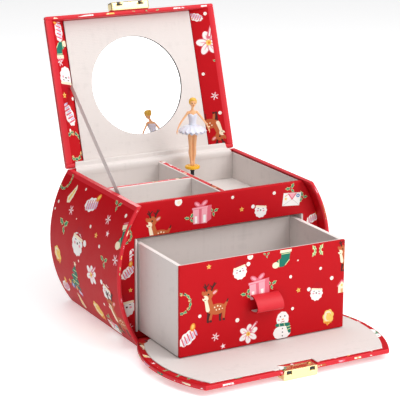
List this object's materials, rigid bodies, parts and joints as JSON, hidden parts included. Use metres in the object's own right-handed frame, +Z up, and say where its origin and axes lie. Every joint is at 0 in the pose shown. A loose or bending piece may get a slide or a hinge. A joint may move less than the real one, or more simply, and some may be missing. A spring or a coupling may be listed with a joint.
{
  "type": "ballerina music jewellery box",
  "caption": "Barrel-sided music jewellery box with a lift-up mirror lid, fold-down front flap, drawer, lined tray and a wind-up turning dancer.",
  "frame": {"origin": "middle of the case's underside, on the table", "axes": "+Z up; -Y towards the front, where the flap and the drawer are; +X to the right seen from the front"},
  "size_m": [0.19, 0.2918, 0.2397],
  "materials": {
    "red_leather": "printed, satin",
    "grey_lining": "matt linen weave",
    "brass_parts": "satin",
    "steel_parts": "satin",
    "gold_clasp": "polished pale gold",
    "mirror_glass": "silvered",
    "black_plastic": "moulded",
    "yellow_plastic": "moulded",
    "skin_plastic": "moulded",
    "blonde_plastic": "painted",
    "white_plastic": "moulded"
  },
  "bodies": {
    "case": {"base_board": "red_leather", "side_wall_left": "red_leather", "side_wall_right": "red_leather", "back_wall": "red_leather", "fascia": "red_leather", "drawer_sleeve": "grey_lining", "tray_floor": "grey_lining", "tray_wall_left": "grey_lining", "tray_wall_right": "grey_lining", "tray_wall_front": "grey_lining", "tray_wall_back": "grey_lining", "long_divider": "grey_lining", "cross_divider": "grey_lining", "inner_hinge_cloth": "grey_lining", "outer_hinge_strip": "red_leather", "flap_hinge_strip": "red_leather", "movement_frame": "brass_parts", "movement_screws": "steel_parts", "spring_housing": "steel_parts", "mainspring": "steel_parts", "comb": "steel_parts", "comb_screws": "steel_parts", "shaft_bush": "black_plastic", "lid_stay_ribbon": "grey_lining"},
    "lid": {"lid_top": "red_leather", "lid_front_wall": "red_leather", "lid_back_wall": "red_leather", "lid_side_left": "red_leather", "lid_side_right": "red_leather", "lid_lining": "grey_lining", "mirror": "mirror_glass", "clasp_plate": "gold_clasp"},
    "flap": {"flap_board": "red_leather", "flap_lining": "grey_lining", "clasp_case": "gold_clasp", "clasp_rivets": "gold_clasp", "latch_spring_left": "steel_parts", "latch_spring_right": "steel_parts"},
    "latch_left": {"latch_button_left": "gold_clasp"},
    "latch_right": {"latch_button_right": "gold_clasp"},
    "drawer": {"drawer_front": "red_leather", "drawer_left": "grey_lining", "drawer_right": "grey_lining", "drawer_back": "grey_lining", "drawer_bottom": "grey_lining", "pull_tab": "red_leather"},
    "dancer_stem": {"dancer_spring": "steel_parts", "spring_collar": "black_plastic"},
    "dancer": {"base_disc": "yellow_plastic", "dancer_body": "skin_plastic", "dancer_hair": "blonde_plastic", "dancer_bodice": "white_plastic", "dancer_tutu": "white_plastic"},
    "key": {"winding_key": "steel_parts", "drive_arbor": "brass_parts"},
    "cylinder": {"music_cylinder": "brass_parts", "cylinder_arbor": "steel_parts"},
    "governor": {"governor": "brass_parts"}
  },
  "joints": [
    {"name": "lid_hinge", "type": "hinge", "parent": "case", "child": "lid", "pos_m": [0, 0.064, 0.1128], "axis": [1, 0, 0], "range_deg": [0, 107.9], "deforming": ["inner_hinge_cloth", "outer_hinge_strip", "lid_stay_ribbon"]},
    {"name": "dancer_fold", "type": "hinge", "parent": "case", "child": "dancer_stem", "pos_m": [0.0275, 0.045, 0.1003], "axis": [1, 0, 0], "range_deg": [0, 90], "deforming": ["dancer_spring"]},
    {"name": "dancer_spin", "type": "hinge", "parent": "dancer_stem", "child": "dancer", "pos_m": [0.0275, 0.045, 0.106], "axis": [0, 0, 1], "continuous": true},
    {"name": "drawer_slide", "type": "slide", "parent": "case", "child": "drawer", "axis": [0, 1, 0], "range_m": [0, 0.0668]},
    {"name": "flap_hinge", "type": "hinge", "parent": "case", "child": "flap", "pos_m": [0, -0.0673, 0.0055], "axis": [-1, 0, 0], "range_deg": [-90, 0.3], "deforming": ["flap_hinge_strip"]},
    {"name": "latch_left_slide", "type": "slide", "parent": "flap", "child": "latch_left", "axis": [-1, 0, 0], "range_m": [0, 0.002], "stiffness_N_per_m": 200, "deforming": ["latch_spring_left"]},
    {"name": "latch_right_slide", "type": "slide", "parent": "flap", "child": "latch_right", "axis": [1, 0, 0], "range_m": [0, 0.002], "stiffness_N_per_m": 200, "deforming": ["latch_spring_right"]},
    {"name": "key_spin", "type": "hinge", "parent": "case", "child": "key", "pos_m": [0.0275, 0.066, 0.0345], "axis": [0, 1, 0], "continuous": true},
    {"name": "cylinder_spin", "type": "hinge", "parent": "case", "child": "cylinder", "pos_m": [0.0275, 0.045, 0.06], "axis": [0, 0, 1], "continuous": true},
    {"name": "governor_spin", "type": "hinge", "parent": "case", "child": "governor", "pos_m": [0.04, 0.045, 0.06], "axis": [0, 0, 1], "continuous": true}
  ],
  "couplings": [
    {"joint": "dancer_fold", "follows": "lid_hinge", "ratio": 0.834},
    {"joint": "cylinder_spin", "follows": "key_spin", "ratio": -3},
    {"joint": "dancer_spin", "follows": "key_spin", "ratio": -3},
    {"joint": "governor_spin", "follows": "key_spin", "ratio": 12}
  ]
}
